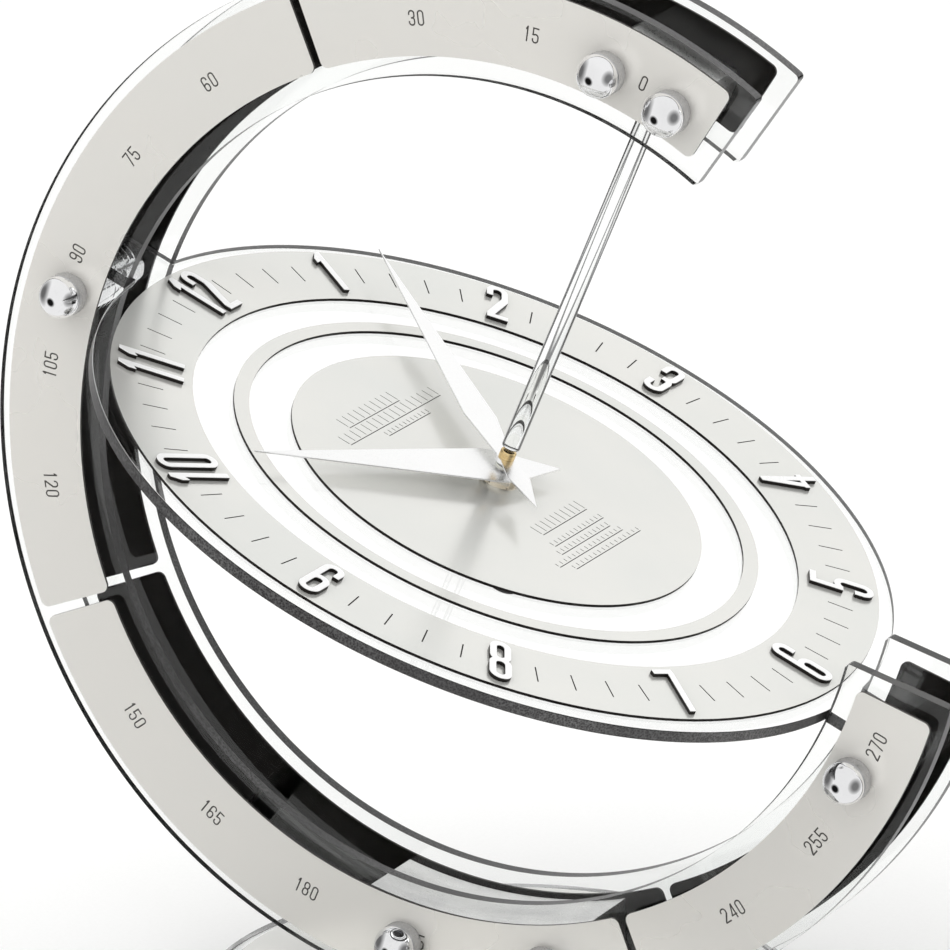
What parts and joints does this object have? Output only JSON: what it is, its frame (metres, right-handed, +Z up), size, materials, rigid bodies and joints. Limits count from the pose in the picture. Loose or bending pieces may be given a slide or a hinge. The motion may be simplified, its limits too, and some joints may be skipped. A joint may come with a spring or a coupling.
{
  "type": "armillary sphere clock",
  "caption": "Tilted clear dial with satin hour rings and clock hands, held in a C-shaped double meridian with degree scales and a clear polar rod, on a round base.",
  "frame": {"origin": "middle of the bounding box, on the table under the feet", "axes": "+Z up, +X towards the open mouth of the C and the lean of the polar rod, +Y towards the back plate"},
  "size_m": [0.3334, 0.266, 0.3555],
  "materials": {
    "clear_acrylic": "clear polished sheet",
    "satin_laminate": "satin silver face over a black core",
    "chrome": "polished",
    "brushed_aluminium": "fine brushed",
    "hand_silver": "bright satin",
    "steel": "plain ground steel",
    "brass": "turned brass",
    "black_plastic": "fine moulded",
    "natural_plastic": "natural acetal",
    "copper_wire": "enamelled copper winding",
    "board_green": "solder mask",
    "cell_jacket": "plain metallic jacket",
    "rubber": "soft matt"
  },
  "bodies": {
    "stand": {"base_disc": "clear_acrylic", "meridian_plate_front": "clear_acrylic", "meridian_plate_back": "clear_acrylic", "polar_rod": "clear_acrylic", "dial_disc": "clear_acrylic", "base_face": "satin_laminate", "hour_ring": "satin_laminate", "thin_ring": "satin_laminate", "centre_plate": "satin_laminate", "hour_numerals": "satin_laminate", "scale_band_front_1": "satin_laminate", "scale_band_front_2": "satin_laminate", "scale_band_front_3": "satin_laminate", "scale_band_front_4": "satin_laminate", "scale_band_back_1": "satin_laminate", "scale_band_back_2": "satin_laminate", "scale_band_back_3": "satin_laminate", "scale_band_back_4": "satin_laminate", "dome_nuts": "chrome", "tab_spacers": "chrome", "saddle_block": "brushed_aluminium", "pole_block": "brushed_aluminium", "base_weight": "steel", "base_screws": "steel", "tie_studs": "steel", "grub_screw": "steel", "stator": "steel", "cell_contacts": "steel", "movement_bush": "brass", "dial_washer": "brass", "clamp_nut": "brass", "case_front": "black_plastic", "case_cover": "black_plastic", "train_bridge": "black_plastic", "train_plate": "black_plastic", "coil": "copper_wire", "circuit_board": "board_green", "base_feet": "rubber"},
    "minute_work": {"minute_arbor": "steel", "minute_hand": "hand_silver", "hand_nut": "brass"},
    "hour_work": {"hour_wheel": "natural_plastic", "hour_hand": "hand_silver"},
    "setting_work": {"motion_wheel": "natural_plastic", "setting_knob": "black_plastic"},
    "rotor_body": {"rotor": "natural_plastic"},
    "intermediate_body": {"intermediate_wheel": "natural_plastic"},
    "second_body": {"second_wheel": "natural_plastic"},
    "third_body": {"third_wheel": "natural_plastic"},
    "centre_body": {"centre_wheel": "natural_plastic"},
    "cell_body": {"cell": "cell_jacket"}
  },
  "joints": [
    {"name": "minute_hand_turn", "type": "hinge", "parent": "stand", "child": "minute_work", "pos_m": [0.00334, 0, 0.1855], "axis": [0.3987, 0, 0.9171], "continuous": true},
    {"name": "hour_hand_turn", "type": "hinge", "parent": "stand", "child": "hour_work", "pos_m": [0.00334, 0, 0.1855], "axis": [0.3987, 0, 0.9171], "continuous": true},
    {"name": "setting_knob_turn", "type": "hinge", "parent": "stand", "child": "setting_work", "pos_m": [0.01435, 0, 0.18071], "axis": [0.3987, 0, 0.9171], "continuous": true},
    {"name": "rotor_turn", "type": "hinge", "parent": "stand", "child": "rotor_body", "pos_m": [0.00087, -0.01847, 0.18657], "axis": [0.3987, 0, 0.9171], "continuous": true},
    {"name": "intermediate_wheel_turn", "type": "hinge", "parent": "stand", "child": "intermediate_body", "pos_m": [-0.00461, -0.01794, 0.18896], "axis": [0.3987, 0, 0.9171], "continuous": true},
    {"name": "second_wheel_turn", "type": "hinge", "parent": "stand", "child": "second_body", "pos_m": [-0.00681, -0.01136, 0.18991], "axis": [0.3987, 0, 0.9171], "continuous": true},
    {"name": "third_wheel_turn", "type": "hinge", "parent": "stand", "child": "third_body", "pos_m": [0.00052, -0.00846, 0.18673], "axis": [0.3987, 0, 0.9171], "continuous": true},
    {"name": "centre_wheel_turn", "type": "hinge", "parent": "stand", "child": "centre_body", "pos_m": [0.00334, 0, 0.1855], "axis": [0.3987, 0, 0.9171], "continuous": true},
    {"name": "cell_slide_out", "type": "slide", "parent": "stand", "child": "cell_body", "axis": [-0.3987, 0, -0.9171], "range_m": [0, 0.03]}
  ],
  "couplings": [
    {"joint": "hour_hand_turn", "follows": "minute_hand_turn", "ratio": 0.083333},
    {"joint": "setting_knob_turn", "follows": "minute_hand_turn", "ratio": -0.33333},
    {"joint": "intermediate_wheel_turn", "follows": "rotor_turn", "ratio": -0.2},
    {"joint": "second_wheel_turn", "follows": "rotor_turn", "ratio": 0.033333},
    {"joint": "third_wheel_turn", "follows": "rotor_turn", "ratio": -0.0044444},
    {"joint": "centre_wheel_turn", "follows": "rotor_turn", "ratio": 0.00055556}
  ]
}
